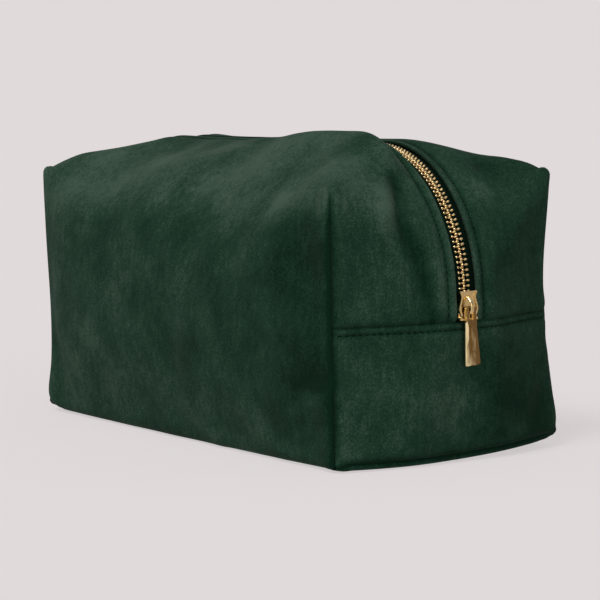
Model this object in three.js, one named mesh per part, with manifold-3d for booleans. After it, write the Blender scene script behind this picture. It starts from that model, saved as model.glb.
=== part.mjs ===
// A box-shaped velvet zip pouch: a padded, lined shell whose upper half splits along a metal zip.
// The zip runs up the near end (+X), over the top and down the far end (-X), in the plane y = 0.
// Millimetres, +Z up, +X towards the end where the slider rests. The origin is the centre of the base.
import * as THREE from "three";
import { mergeVertices } from "three/addons/utils/BufferGeometryUtils.js";
import Module from "manifold-3d";

const wasm = await Module();
wasm.setup();

// ---- Driving dimensions -------------------------------------------------------------------
const LENGTH = 250; // between the corner seams, along X
const WIDTH = 118; // between the corner seams, along Y
const CORNER_HEIGHT = 120; // height of the four corner seams
const CROWN_HEIGHT = 135; // height of the velvet along the zip
const CROWN_POWER = 1.08; // 1 is a straight slope from the zip to the corner seams, 2 a rounded one
const END_REACH = 140; // how far the velvet beside the zip stands out at each end, from the middle
const BASE_REACH = 134; // the same, at the floor
const FULL_REACH_Z = 50; // height from which the ends stand out in full
const END_ARC_RADIUS = 64; // the velvet's round at each end, beside the zip
const SIDE_BULGE = 4; // how far each long side stands out past its corner seams
const SIDE_TOP_RADIUS = 28; // round of the long top edges, at mid-length
const CORNER_RADIUS = 6; // round of every top edge where it meets a corner seam
const BULGE_POWER = 4; // how late along a side its bulge dies away
const ROUND_POWER = 3; // how late along a side its top edge's round tightens
const END_SEAM_Z = 60; // the level seam where an end's zipped half meets its plain half
const ZIP_BAND = 0.25; // share of the half-width, beside the zip, that stays level across

const VELVET = 1.2;
const PADDING = 3;
const LINING = 0.8;
const CLEARANCE = 0.4; // between neighbouring pieces
const BASE_RIM = 3; // height at which the base panel's edge is sewn to the end panels

const VELVET_SLOT = 5.2; // half-width of the slot that the velvet leaves for the zip
const INNER_SLOT = 13.2; // the same, in the padding and the lining

const TAPE_DEPTH = 2.7; // from the velvet's face to the middle of the tape and of the teeth
const TAPE_THICKNESS = 0.6;
const TAPE_EDGES = [3.2, 12.8]; // each tape's inner and outer edge, from the middle
const TEETH_THICKNESS = 2.2;
const TEETH_EDGES = [0.9, 2.9];
const ROW_START_Z = { near: 63, far: 64.2 }; // where the rows of teeth begin, above the stops
const STOP_HEIGHT = 2; // of a top stop, along the tape
const STOP_THICKNESS = 2.6;

const GRID = [18, 10, 8]; // facets along X, Y and Z of each surface of the shell

// ---- Materials ----------------------------------------------------------------------------
function finish(color, roughness, metalness) {
  return new THREE.MeshStandardMaterial({ color, roughness, metalness });
}
const VELVET_GREEN = finish(0x22382b, 0.95, 0);
const FOAM_GREY = finish(0xc9c7c0, 0.9, 0);
const LINING_GREEN = finish(0x2b4535, 0.5, 0);
const TAPE_GREEN = finish(0x0f2a1c, 0.85, 0);
const GOLD = finish(0xd9b26a, 0.25, 1);

// ---- Solids -------------------------------------------------------------------------------
const WELD = 1e-3; // corners closer than this are one
const OVERLAP = 0.2; // by which joined solids run into each other, and cuts run past a face

function toSolid(geometry) {
  const bare = geometry.clone();
  bare.deleteAttribute("normal");
  bare.deleteAttribute("uv");
  const merged = mergeVertices(bare, WELD);
  return new wasm.Manifold(
    new wasm.Mesh({
      numProp: 3,
      vertProperties: new Float32Array(merged.attributes.position.array),
      triVerts: new Uint32Array(merged.index.array),
    }),
  );
}

function toGeometry(solid) {
  const mesh = solid.getMesh();
  const geometry = new THREE.BufferGeometry();
  geometry.setAttribute("position", new THREE.BufferAttribute(mesh.vertProperties, 3));
  geometry.setIndex(new THREE.BufferAttribute(mesh.triVerts, 1));
  geometry.computeVertexNormals();
  return geometry;
}

// A block between two corners.
function block(low, high) {
  const size = high.map((value, axis) => value - low[axis]);
  const geometry = new THREE.BoxGeometry(...size);
  geometry.translate(...low.map((value, axis) => value + size[axis] / 2));
  return geometry;
}

// An outline in XZ, extruded from one y to another.
function slab(shape, yFrom, yTo, curveSegments) {
  const depth = yTo - yFrom;
  const geometry = new THREE.ExtrudeGeometry(shape, { depth, bevelEnabled: false, curveSegments });
  geometry.rotateX(Math.PI / 2);
  geometry.translate(0, yTo, 0);
  return geometry;
}

// An outline in XY, extruded upwards from one z to another.
function prism(points, zFrom, zTo) {
  const shape = new THREE.Shape(points.map(([x, y]) => new THREE.Vector2(x, y)));
  const geometry = new THREE.ExtrudeGeometry(shape, { depth: zTo - zFrom, bevelEnabled: false });
  geometry.translate(0, 0, zFrom);
  return geometry;
}

const mirrorY = (points) => points.map(([x, y]) => [x, -y]).reverse();
const mirrorX = (points) => points.map(([x, y]) => [-x, y]).reverse();

// ---- The pouch's form ---------------------------------------------------------------------
// 0 beside the zip, rising to 1 at the corner seams; v is the share of the half-width.
const awayFromZip = (v) => Math.max(0, (Math.abs(v) - ZIP_BAND) / (1 - ZIP_BAND));

// The share of the full crown: 1 beside the zip, 0 at the corner seams.
const crownShare = (v) => 1 - awayFromZip(v) ** CROWN_POWER;

// A radius that shrinks from full to the corner's as the share goes from 0 to 1.
const tapered = (radius, inset, share) => Math.max(0, radius + (CORNER_RADIUS - radius) * share - inset);

// Rounds the corner of a rectangle at (reach, top) with the given radius, for a point on its outline.
function roundCorner(across, up, reach, top, radius) {
  const dAcross = Math.abs(across) - (reach - radius);
  const dUp = up - (top - radius);
  if (dAcross <= 0 || dUp <= 0) return [across, up];
  const scale = radius / Math.hypot(dAcross, dUp);
  return [Math.sign(across) * (reach - radius + dAcross * scale), top - radius + dUp * scale];
}

// One point of the outer surface, set in by a distance. It starts at shares u, v and up of a plain box.
// The long top edges are rounded under a flat top, which the crown then lifts.
function onPouch(u, v, up, inset) {
  const crown = CROWN_HEIGHT - CORNER_HEIGHT;
  const flatTop = CORNER_HEIGHT - inset;
  const lifted = (z) => Math.max(0, z - END_SEAM_Z) / (flatTop - END_SEAM_Z);
  const level = up * CORNER_HEIGHT;
  const seamShare = level / END_SEAM_Z;
  const topShare = (level - END_SEAM_Z) / (CORNER_HEIGHT - END_SEAM_Z);
  const flatZ =
    level < END_SEAM_Z
      ? inset + seamShare * (END_SEAM_Z - inset)
      : END_SEAM_Z + topShare * (flatTop - END_SEAM_Z);
  const z = flatZ + crown * crownShare(v) * lifted(flatZ);
  const side = WIDTH / 2 + SIDE_BULGE * (1 - u ** BULGE_POWER) * Math.sin(Math.PI * up) - inset;
  const sideRadius = tapered(SIDE_TOP_RADIUS, inset, Math.abs(u) ** ROUND_POWER);
  const [y, roundedZ] = roundCorner(v * side, flatZ, side, flatTop, sideRadius);
  const sideZ = roundedZ + crown * crownShare(y / side) * lifted(roundedZ);
  const swell = Math.sin((Math.min(1, z / FULL_REACH_Z) * Math.PI) / 2);
  const fullReach = BASE_REACH + (END_REACH - BASE_REACH) * swell;
  const reach = LENGTH / 2 + (fullReach - LENGTH / 2) * crownShare(v) - inset;
  const endRadius = tapered(END_ARC_RADIUS, inset, awayFromZip(v));
  const [x, endZ] = roundCorner(u * reach, z, reach, flatTop + crown * crownShare(v), endRadius);
  return [x, y, sideZ + endZ - z];
}

// The pouch's outer surface, set in by a distance: a box of facets drawn out into the full shape.
function pouch(inset) {
  const geometry = new THREE.BoxGeometry(2, 2, 2, ...GRID);
  const position = geometry.attributes.position;
  for (let i = 0; i < position.count; i++) {
    const up = (position.getZ(i) + 1) / 2;
    position.setXYZ(i, ...onPouch(position.getX(i), position.getY(i), up, inset));
  }
  return toSolid(geometry);
}

// ---- Where each panel lies ----------------------------------------------------------------
const FAR = 200; // past every surface
const HALF_GAP = CLEARANCE / 2;
const MITRE = HALF_GAP * Math.SQRT2;
const PLAN_OUT = 20; // how far the wall plans run out past the corner seams
const PLAN_IN = 40; // and how far in
const CORNER_OUT = [LENGTH / 2 + PLAN_OUT, WIDTH / 2 + PLAN_OUT];
const CORNER_IN = [LENGTH / 2 - PLAN_IN, WIDTH / 2 - PLAN_IN];

// The mitred ground plan of one long side's wall, and of one end's.
const SIDE_PLAN = [
  [-CORNER_OUT[0], -CORNER_OUT[1] - MITRE],
  [CORNER_OUT[0], -CORNER_OUT[1] - MITRE],
  [CORNER_IN[0], -CORNER_IN[1] - MITRE],
  [-CORNER_IN[0], -CORNER_IN[1] - MITRE],
];
const END_PLAN = [
  [CORNER_IN[0] + MITRE, -CORNER_IN[1]],
  [CORNER_OUT[0] + MITRE, -CORNER_OUT[1]],
  [CORNER_OUT[0] + MITRE, CORNER_OUT[1]],
  [CORNER_IN[0] + MITRE, CORNER_IN[1]],
];

const parts = new THREE.Group();

function add(name, geometry, material) {
  const mesh = new THREE.Mesh(geometry, material);
  mesh.name = name;
  parts.add(mesh);
  return mesh;
}

// Cuts one layer of the shell into its lower walls, its floor and its two upper halves.
function addLayer(kind, depth, thickness, slot, material) {
  const shell = pouch(depth).subtract(pouch(depth + thickness));
  const floorTop = depth + BASE_RIM;
  const wallFrom = floorTop + HALF_GAP;
  const wallTo = END_SEAM_Z - HALF_GAP;
  const walls = {
    front: SIDE_PLAN,
    back: mirrorY(SIDE_PLAN),
    near_end: END_PLAN,
    far_end: mirrorX(END_PLAN),
  };
  for (const [place, plan] of Object.entries(walls)) {
    const isSide = place === "front" || place === "back";
    const wall = shell.intersect(toSolid(prism(plan, wallFrom, wallTo)));
    add(isSide ? `${place}_${kind}_lower` : `${place}_${kind}`, toGeometry(wall), material);
  }
  const floor = shell.intersect(toSolid(block([-FAR, -FAR, -FAR], [FAR, FAR, floorTop - HALF_GAP])));
  add(`bottom_${kind}`, toGeometry(floor), material);
  const above = END_SEAM_Z + HALF_GAP;
  const halves = {
    front: block([-FAR, -FAR, above], [FAR, -slot, FAR]),
    back: block([-FAR, slot, above], [FAR, FAR, FAR]),
  };
  for (const [place, region] of Object.entries(halves)) {
    add(`${place}_${kind}_upper`, toGeometry(shell.intersect(toSolid(region))), material);
  }
}

const PADDING_DEPTH = VELVET + CLEARANCE;
const LINING_DEPTH = PADDING_DEPTH + PADDING + CLEARANCE;

addLayer("panel", 0, VELVET, VELVET_SLOT, VELVET_GREEN);
addLayer("padding", PADDING_DEPTH, PADDING, INNER_SLOT, FOAM_GREY);
addLayer("lining", LINING_DEPTH, LINING, INNER_SLOT, LINING_GREEN);

// ---- The zip ------------------------------------------------------------------------------
const ARC_CENTRE = [END_REACH - END_ARC_RADIUS, CROWN_HEIGHT - END_ARC_RADIUS];
const ZIP_RADIUS = END_ARC_RADIUS - TAPE_DEPTH;
const ARC_SEGMENTS = 14;

// A band that follows the zip over the pouch, between two levels measured from the tape's middle.
function zipBand(inner, outer, nearZ, farZ, yFrom, yTo) {
  const [cx, cz] = ARC_CENTRE;
  const shape = new THREE.Shape();
  const low = ZIP_RADIUS + inner;
  const high = ZIP_RADIUS + outer;
  shape.moveTo(cx + low, nearZ);
  shape.lineTo(cx + high, nearZ);
  shape.lineTo(cx + high, cz);
  shape.absarc(cx, cz, high, 0, Math.PI / 2, false);
  shape.lineTo(-cx, cz + high);
  shape.absarc(-cx, cz, high, Math.PI / 2, Math.PI, false);
  shape.lineTo(-cx - high, farZ);
  shape.lineTo(-cx - low, farZ);
  shape.lineTo(-cx - low, cz);
  shape.absarc(-cx, cz, low, Math.PI, Math.PI / 2, true);
  shape.lineTo(cx, cz + low);
  shape.absarc(cx, cz, low, Math.PI / 2, 0, true);
  shape.closePath();
  return slab(shape, yFrom, yTo, ARC_SEGMENTS);
}

const TAPE_START_Z = END_SEAM_Z + CLEARANCE;
for (const [place, side] of [["front", -1], ["back", 1]]) {
  const span = ([inner, outer]) => [side * inner, side * outer].sort((a, b) => a - b);
  const tape = TAPE_THICKNESS / 2;
  const teeth = TEETH_THICKNESS / 2;
  add(`${place}_zip_tape`, zipBand(-tape, tape, TAPE_START_Z, TAPE_START_Z, ...span(TAPE_EDGES)), TAPE_GREEN);
  add(
    `${place}_zip_teeth`,
    zipBand(-teeth, teeth, ROW_START_Z.near, ROW_START_Z.far, ...span(TEETH_EDGES)),
    GOLD,
  );
}

// The stops: one clamped on each tape at the near end, and one across both tapes at the far end.
const END_X = ARC_CENTRE[0] + ZIP_RADIUS;
const STOP_LOW = END_SEAM_Z + CLEARANCE;
const STOP_OUT = STOP_THICKNESS / 2;
for (const [place, yFrom, yTo] of [["front", -TEETH_EDGES[1], -TEETH_EDGES[0]], ["back", ...TEETH_EDGES]]) {
  add(
    `${place}_top_stop`,
    block([END_X - STOP_OUT, yFrom, STOP_LOW], [END_X + STOP_OUT, yTo, STOP_LOW + STOP_HEIGHT]),
    GOLD,
  );
}
add(
  "bottom_stop",
  block(
    [-END_X - STOP_OUT, -TEETH_EDGES[1], STOP_LOW],
    [-END_X + STOP_OUT, TEETH_EDGES[1], ROW_START_Z.far - CLEARANCE],
  ),
  GOLD,
);

// ---- The slider, in its own frame: X out of the pouch, Y across, Z towards the closed teeth --
const SLIDER_LENGTH = 12.3;
const SLIDER_REST_Z = 67; // height of the slider's middle when the zip is closed
const WING = { inner: 2.1, outer: 3.2 }; // levels of a wing's two faces, from the tape's middle
const WING_HALF_WIDTHS = { neck: 3.9, ear: 4.2, shoulder: 4.8, mouth: 3.6 };
const WING_LEVELS = { ear: 5.05, neckTop: 4.35, neckBottom: 2.55, shoulderTop: -1.2, shoulderBottom: -2.6 };
const POST = { halfWidth: 0.6, from: -5.6, to: -2.6 };
const BRIDGE = { from: -3.4, to: 2.4, leg: 1, inside: 5.4, outside: 6.4, halfWidth: 0.8 };
const PIVOT = { out: 4.45, up: -1.4 }; // the pull tab's cross bar, under the bridge
const TAB = {
  barRadius: 0.65,
  barFacets: 12,
  eyeTop: 0.65,
  eyeBottom: 4.5,
  neckBottom: 6.2,
  length: 25,
  eyeHalf: 1.35,
  neckHalf: 2.5,
  topHalf: 2.8,
  bottomHalf: 3.8,
  thickness: 1.5,
};

// The slider's outline across Y and along Z: a flared neck, round shoulders and a narrower mouth.
function sliderOutline() {
  const half = SLIDER_LENGTH / 2;
  const right = [
    [WING_HALF_WIDTHS.ear, half],
    [WING_HALF_WIDTHS.ear, WING_LEVELS.ear],
    [WING_HALF_WIDTHS.neck, WING_LEVELS.neckTop],
    [WING_HALF_WIDTHS.neck, WING_LEVELS.neckBottom],
    [WING_HALF_WIDTHS.shoulder, WING_LEVELS.shoulderTop],
    [WING_HALF_WIDTHS.shoulder, WING_LEVELS.shoulderBottom],
    [WING_HALF_WIDTHS.mouth, -half],
  ];
  return [...right, ...right.map(([y, z]) => [-y, z]).reverse()];
}

// A closed outline in YZ, standing from one x to another.
function standing(points, xFrom, xTo) {
  const geometry = prism(points, xFrom, xTo);
  geometry.applyMatrix4(new THREE.Matrix4().set(0, 0, 1, 0, 1, 0, 0, 0, 0, 1, 0, 0, 0, 0, 0, 1));
  return geometry;
}

function sliderBody() {
  const outer = toSolid(standing(sliderOutline(), WING.inner, WING.outer));
  const inner = toSolid(standing(sliderOutline(), -WING.outer, -WING.inner));
  const post = toSolid(
    block(
      [-WING.inner - OVERLAP, -POST.halfWidth, POST.from],
      [WING.inner + OVERLAP, POST.halfWidth, POST.to],
    ),
  );
  return toGeometry(outer.add(post).add(inner));
}

// The arch over the outer wing that holds the pull tab.
function sliderBridge() {
  const foot = WING.outer + CLEARANCE;
  const arch = toSolid(
    block([foot, -BRIDGE.halfWidth, BRIDGE.from], [BRIDGE.outside, BRIDGE.halfWidth, BRIDGE.to]),
  );
  const past = BRIDGE.halfWidth + OVERLAP;
  const opening = toSolid(
    block([foot - OVERLAP, -past, BRIDGE.from + BRIDGE.leg], [BRIDGE.inside, past, BRIDGE.to - BRIDGE.leg]),
  );
  return toGeometry(arch.subtract(opening));
}

// The tab hangs from a round cross bar: an eye round the bridge, then a long bar that widens downwards.
function pullTab() {
  const half = TAB.thickness / 2;
  const down = (distance) => PIVOT.up - distance;
  const bar = standing(
    [
      [-TAB.neckHalf, down(TAB.eyeTop)],
      [-TAB.neckHalf, down(TAB.eyeBottom)],
      [-TAB.topHalf, down(TAB.neckBottom)],
      [-TAB.bottomHalf, down(TAB.length)],
      [TAB.bottomHalf, down(TAB.length)],
      [TAB.topHalf, down(TAB.neckBottom)],
      [TAB.neckHalf, down(TAB.eyeBottom)],
      [TAB.neckHalf, down(TAB.eyeTop)],
    ],
    PIVOT.out - half,
    PIVOT.out + half,
  );
  const eye = block(
    [PIVOT.out - half - OVERLAP, -TAB.eyeHalf, down(TAB.eyeBottom)],
    [PIVOT.out + half + OVERLAP, TAB.eyeHalf, PIVOT.up],
  );
  const crossBar = new THREE.CylinderGeometry(TAB.barRadius, TAB.barRadius, 2 * TAB.neckHalf, TAB.barFacets);
  crossBar.translate(PIVOT.out, 0, PIVOT.up);
  const frame = toSolid(bar).subtract(toSolid(eye));
  const ends = [-1, 1].map((side) => {
    const inside = side * TAB.eyeHalf;
    const outside = side * TAB.neckHalf;
    return toSolid(
      block(
        [PIVOT.out - half, Math.min(inside, outside), down(TAB.eyeTop) - OVERLAP],
        [PIVOT.out + half, Math.max(inside, outside), PIVOT.up],
      ),
    );
  });
  return toGeometry(frame.add(ends[0]).add(ends[1]).add(toSolid(crossBar)));
}

const slider = new THREE.Group();
slider.position.set(END_X, 0, SLIDER_REST_Z);
for (const [name, geometry] of [
  ["slider_body", sliderBody()],
  ["slider_bridge", sliderBridge()],
  ["pull_tab", pullTab()],
]) {
  slider.add(add(name, geometry, GOLD));
}
parts.add(slider);

export default parts;
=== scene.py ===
"""A box-shaped velvet zip pouch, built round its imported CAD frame.

+Z is up and +X is the end where the closed zip's slider rests. Shapes are worked out in millimetres
and scaled to metres as each mesh is made.
"""

import math
from collections import namedtuple

import bpy
import numpy as np
from mathutils import Matrix, Vector, noise


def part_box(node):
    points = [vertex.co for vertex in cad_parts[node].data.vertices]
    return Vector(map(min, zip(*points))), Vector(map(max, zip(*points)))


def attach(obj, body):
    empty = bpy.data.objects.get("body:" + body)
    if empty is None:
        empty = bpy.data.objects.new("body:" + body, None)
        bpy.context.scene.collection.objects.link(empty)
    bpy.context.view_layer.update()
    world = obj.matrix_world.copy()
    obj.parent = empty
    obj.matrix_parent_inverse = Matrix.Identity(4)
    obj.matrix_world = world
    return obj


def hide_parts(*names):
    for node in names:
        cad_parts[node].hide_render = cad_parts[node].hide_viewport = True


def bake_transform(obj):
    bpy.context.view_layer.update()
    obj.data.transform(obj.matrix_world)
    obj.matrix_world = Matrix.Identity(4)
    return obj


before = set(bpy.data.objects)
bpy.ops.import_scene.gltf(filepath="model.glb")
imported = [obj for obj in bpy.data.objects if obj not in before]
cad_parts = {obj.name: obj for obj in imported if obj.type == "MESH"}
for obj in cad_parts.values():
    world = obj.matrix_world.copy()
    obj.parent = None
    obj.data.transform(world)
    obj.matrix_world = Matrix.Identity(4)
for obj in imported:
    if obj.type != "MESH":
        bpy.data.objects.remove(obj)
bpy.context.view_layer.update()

MM = 0.001

# ---- Driving dimensions, in millimetres ---------------------------------------------------
HALF_LENGTH = 125
HALF_WIDTH = 59
CORNER_HEIGHT = 120
CROWN = 15  # how far the top rises from the corners to the zip
CROWN_POWER = 1.08
END_SWELL = 15  # how far each end stands out beside the zip
BASE_SWELL = 9  # the same, at the floor
FULL_SWELL_Z = 50
SIDE_BULGE = 4
END_ARC_RADIUS = 64
SIDE_TOP_RADIUS = 28
CORNER_RADIUS = 6
BASE_EDGE_RADIUS = 4.5
END_BASE_RADIUS = 2.5
END_SEAM_Z = 60
BASE_RIM_Z = 3
ZIP_BAND = 0.25
STITCH_LINE_Z = END_SEAM_Z - 3
ZIP_STITCH_Y = 9.2

SLOT = {"velvet": 5.2, "padding": 13.5, "lining": 7.2}
TAPE_DEPTH = 2.7
ZIP_RADIUS = END_ARC_RADIUS - TAPE_DEPTH
ARC_X = HALF_LENGTH + END_SWELL - END_ARC_RADIUS
ARC_Z = CORNER_HEIGHT + CROWN - END_ARC_RADIUS

CLOTH_FRAMES = 22
CLOTH_CAP = 2.8  # the furthest that the cloth may move, nearly
CLOTH_EVENING = 4  # rounds of smoothing, which take out the coarse lattice's creases


# ---- The lattice that the shell is drawn on -----------------------------------------------
def graded(low, high, fine, step):
    """Lines from low to high: at the fine distances from both ends, and evenly between."""
    start, stop = low + fine[-1], high - fine[-1]
    middle = np.linspace(start, stop, math.ceil((stop - start) / step) + 1)
    near_low = [low + d for d in fine[:-1]]
    near_high = [high - d for d in reversed(fine[:-1])]
    return [*near_low, *middle, *near_high]


SEAM_ROWS = (0, 0.7, 1.6, 3.0, 5.2, 8.5)
ACROSS = [SLOT["velvet"], 6.0, 7.2, 8.5, ZIP_STITCH_Y, 9.9, 11.5]
ACROSS += graded(13.5, HALF_WIDTH, (0,), 3.6)[:-1]
ACROSS = [y for y in ACROSS if y < HALF_WIDTH - SEAM_ROWS[-1] - 2]
ACROSS += [HALF_WIDTH - d for d in reversed(SEAM_ROWS)]
FINE_LINES = (
    np.array(graded(-HALF_LENGTH, HALF_LENGTH, SEAM_ROWS, 3.9)),
    np.array([-y for y in reversed(ACROSS)] + [0] + ACROSS),
    np.array(
        [0, 0.8, 1.9, BASE_RIM_Z, 4.1, 5.8]
        + graded(8.5, 53.5, (0,), 3.8)
        + [55.6, 56.4, STITCH_LINE_Z, 57.6, 58.4, 59.3, END_SEAM_Z, 60.7, 61.6, 63.2, 65.5]
        + graded(68.5, 116, (0,), 3.7)
        + [118, 119.2, CORNER_HEIGHT]
    ),
)
CLOTH_CELL = 5.2
CLOTH_LINES = tuple(
    np.linspace(low, high, math.ceil((high - low) / CLOTH_CELL / 2) * 2 + 1)
    for low, high in ((-HALF_LENGTH, HALF_LENGTH), (-HALF_WIDTH, HALF_WIDTH), (0, CORNER_HEIGHT))
)
# side: (held axis, which end of it, row axis, column axis, whether its quads are turned over)
SIDES = {
    "front": (1, 0, 0, 2, False),
    "back": (1, -1, 0, 2, True),
    "near": (0, -1, 1, 2, False),
    "far": (0, 0, 1, 2, True),
    "bottom": (2, 0, 0, 1, True),
    "top": (2, -1, 0, 1, False),
}
Lattice = namedtuple("Lattice", "lines places grids")


def number_surface(lines):
    """Numbers a box lattice's surface points: their places, and one grid of numbers for each side."""
    shape = [len(axis) for axis in lines]
    on_surface = np.ones(shape, bool)
    on_surface[1:-1, 1:-1, 1:-1] = False
    number = np.full(shape, -1)
    number[on_surface] = np.arange(on_surface.sum())
    i, j, k = np.nonzero(on_surface)
    places = np.stack([lines[0][i], lines[1][j], lines[2][k]], axis=1)
    grids = {side: number.take(end, axis=held) for side, (held, end, *_) in SIDES.items()}
    return Lattice(lines, places, grids)


def cells(lattice, side):
    """Each quad of one side, and the middle of each on the lattice."""
    grid = lattice.grids[side]
    quads = np.stack([grid[:-1, :-1], grid[1:, :-1], grid[1:, 1:], grid[:-1, 1:]], axis=-1).reshape(-1, 4)
    if SIDES[side][4]:
        quads = quads[:, ::-1]
    return quads, lattice.places[quads].mean(axis=1)


FINE = number_surface(FINE_LINES)
PLACES = FINE.places
CELLS = {side: cells(FINE, side) for side in SIDES}
ALL_QUADS = np.concatenate([quads for quads, _ in CELLS.values()])


# ---- The shell's form ---------------------------------------------------------------------
def round_corner(across, up, reach, top, radius):
    """Rounds the two upper corners of a section, by drawing points in towards a circle."""
    d_across = np.abs(across) - (reach - radius)
    d_up = up - (top - radius)
    inside = (d_across > 0) & (d_up > 0)
    scale = radius / np.maximum(np.hypot(d_across, d_up), 1e-6)
    rounded_across = np.sign(across) * (reach - radius + d_across * scale)
    rounded_up = top - radius + d_up * scale
    return np.where(inside, rounded_across, across), np.where(inside, rounded_up, up)


def round_base(across, up, reach, floor, radius):
    across, flipped = round_corner(across, -up, reach, -floor, radius)
    return across, -flipped


def tapered(radius, share, inset):
    """A radius that shrinks to the corner's as the share goes from 0 to 1."""
    return np.maximum(0, radius + (CORNER_RADIUS - radius) * share - inset)


def crown_share(v, power=CROWN_POWER):
    """How far a point is from the zip (0 beside it, 1 at the corner seams), and its share of the crown."""
    away = np.clip((np.abs(v) - ZIP_BAND) / (1 - ZIP_BAND), 0, 1)
    return away, 1 - away**power


def shell_form(places, inset=0.0):
    """Draws the lattice box out into the pouch's full shape, set in by a distance."""
    x0, y0, z0 = places.T
    u = x0 / HALF_LENGTH
    v = y0 / HALF_WIDTH
    away, full = crown_share(v)
    above = np.maximum(0, z0 - END_SEAM_Z) / (CORNER_HEIGHT - END_SEAM_Z)
    below = np.minimum(z0, END_SEAM_Z) / END_SEAM_Z
    flat_top = CORNER_HEIGHT - inset
    z_flat = inset + below * (END_SEAM_Z - inset) + above * (flat_top - END_SEAM_Z)
    top = flat_top + CROWN * full
    z = z_flat + above * CROWN * full
    swell = BASE_SWELL + (END_SWELL - BASE_SWELL) * np.sin(np.minimum(1, z / FULL_SWELL_Z) * math.pi / 2)
    _, rounder = crown_share(v, CROWN_POWER + np.clip(1 - z / FULL_SWELL_Z, 0, 1))
    reach = HALF_LENGTH + swell * rounder - inset
    side = HALF_WIDTH + SIDE_BULGE * (1 - u**4) * np.sin(math.pi * z0 / CORNER_HEIGHT) - inset
    y, z_round = round_corner(
        v * side, z_flat, side, flat_top, tapered(SIDE_TOP_RADIUS, np.abs(u) ** 3, inset)
    )
    _, full_here = crown_share(y / side)
    z_side = z_round + CROWN * full_here * np.maximum(0, z_round - END_SEAM_Z) / (flat_top - END_SEAM_Z)
    x, z_end = round_corner(u * reach, z, reach, top, tapered(END_ARC_RADIUS, away, inset))
    z = z_side + z_end - z
    y, z = round_base(y, z, side, inset, max(BASE_EDGE_RADIUS - inset, 0))
    x, z = round_base(x, z, reach, inset, max(END_BASE_RADIUS - inset, 0))
    return np.stack([x, y, z], axis=1)


def quad_normals(points, quads):
    a, b, c, d = (points[quads[:, n]] for n in range(4))
    return np.cross(c - a, d - b)


def vertex_normals(points, quads):
    faces = quad_normals(points, quads)
    normals = np.zeros_like(points)
    for n in range(4):
        np.add.at(normals, quads[:, n], faces)
    return normals / np.linalg.norm(normals, axis=1, keepdims=True)


def bump(distance, width):
    return np.exp(-((distance / width) ** 2))


def ease(value, start, stop):
    share = np.clip((value - start) / (stop - start), 0, 1)
    return share * share * (3 - 2 * share)


def on_side(lattice, *sides):
    """Which lattice points lie on any of these sides."""
    found = np.zeros(len(lattice.places), bool)
    for side in sides:
        found[lattice.grids[side].ravel()] = True
    return found


# Where handling and filling have pushed the pouch out of its plain form, in lattice millimetres:
# the middle of the push, how far it is felt along each axis, and the push itself.
PUSHES = (
    ((125, 59, 72), (42, 30, 36), (-1.4, -4.0, 0)),  # the near back seam is drawn in
    ((-125, -59, 46), (40, 28, 34), (1.2, 1.2, 0)),  # so is the far front one, less
    ((-125, 59, 66), (40, 28, 42), (1.6, -3.0, 0)),
    ((56, -18, 120), (40, 13, 30), (0, 0, 5.6)),  # the front half puffs up beside the zip
    ((94, -19, 120), (21, 12, 30), (1.5, 0, 4.0)),
    ((-14, -18, 120), (20, 14, 30), (0, 0, -0.6)),
    ((-72, -26, 120), (34, 26, 30), (0, 0, -2.8)),  # the top falls away beside the puffed part
    ((84, 34, 120), (40, 24, 34), (0, 0, -1.2)),
    ((125, 59, 120), (26, 24, 26), (0.2, 0.2, 2.3)),  # the corners' thick seams stand up a little
    ((-125, -59, 120), (26, 24, 26), (-0.4, -0.4, 1.6)),
    ((125, 59, 0), (46, 46, 30), (0, 0, 3.2)),  # the base sags, so its corners lift
    ((-125, -59, 0), (44, 40, 30), (0, 0, 0.6)),
    ((-125, 59, 0), (44, 40, 30), (0, 0, 2.2)),
    ((125, -59, 0), (40, 40, 30), (0, 0, 0.4)),
    ((-108, -48, 120), (16, 15, 20), (0, 0, 1.8)),  # the cloth beside two of the top corners stays full
    ((112, 50, 120), (18, 14, 20), (0, 0, 2.6)),
    ((-125, -59, 0), (7, 7, 4.5), (2.3, 2.3, 1.2)),  # worn corners of the base, full just above the floor
    ((125, 59, 0), (7, 7, 4.5), (-2.0, -2.0, 0.9)),
    ((-125, -59, 9), (14, 14, 10), (-1.1, -1.1, 0)),
    ((125, 59, 9), (14, 14, 10), (0.9, 0.9, 0)),
)
# Soft folds: the points they run through, their width, and how far they stand out (-: in).
FOLDS = (
    (((122, -20, 121), (130, -25, 110), (132, -27, 102), (136, -21, 83), (137, -16, 62)), 5, -4.4),
    (((108, -20, 131), (124, -24, 125), (129, -31, 115), (131, -35, 102)), 7, 1.8),
    (((112, 30, 124), (130, 27, 106), (135, 19, 84)), 7, -1.3),
    (((58, -60, 22), (70, -61, 12), (84, -60, 5)), 4.5, 0.9),
    (((98, -61, 33), (112, -60, 38), (125, -59, 39)), 6, -1.6),
    (((104, -61, 26), (125, -59, 31)), 4.5, 1.0),
    (((10, -62, 18), (34, -61, 4)), 6, 0.8),
    (((60, 60, 14), (96, 60, 34), (125, 59, 48)), 8, -1.4),
    (((-90, 60, 90), (-60, 62, 66)), 10, -1.2),
    (((130, 40, 14), (128, 56, 34)), 7, -1.0),
)


def handled(lattice, points):
    """The pushes, which leave the zip's own band alone."""
    y0, z0 = lattice.places[:, 1], lattice.places[:, 2]
    on_zip = on_side(lattice, "top") | (on_side(lattice, "near", "far") & (z0 > END_SEAM_Z))
    free = np.where(on_zip, np.clip((np.abs(y0) - 8) / 9, 0, 1), 1.0)
    total = np.zeros_like(points)
    for middle, felt, push in PUSHES:
        share = np.exp(-(((lattice.places - middle) / felt) ** 2).sum(axis=1))
        total += share[:, None] * np.array(push)
    return points + total * free[:, None]


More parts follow.
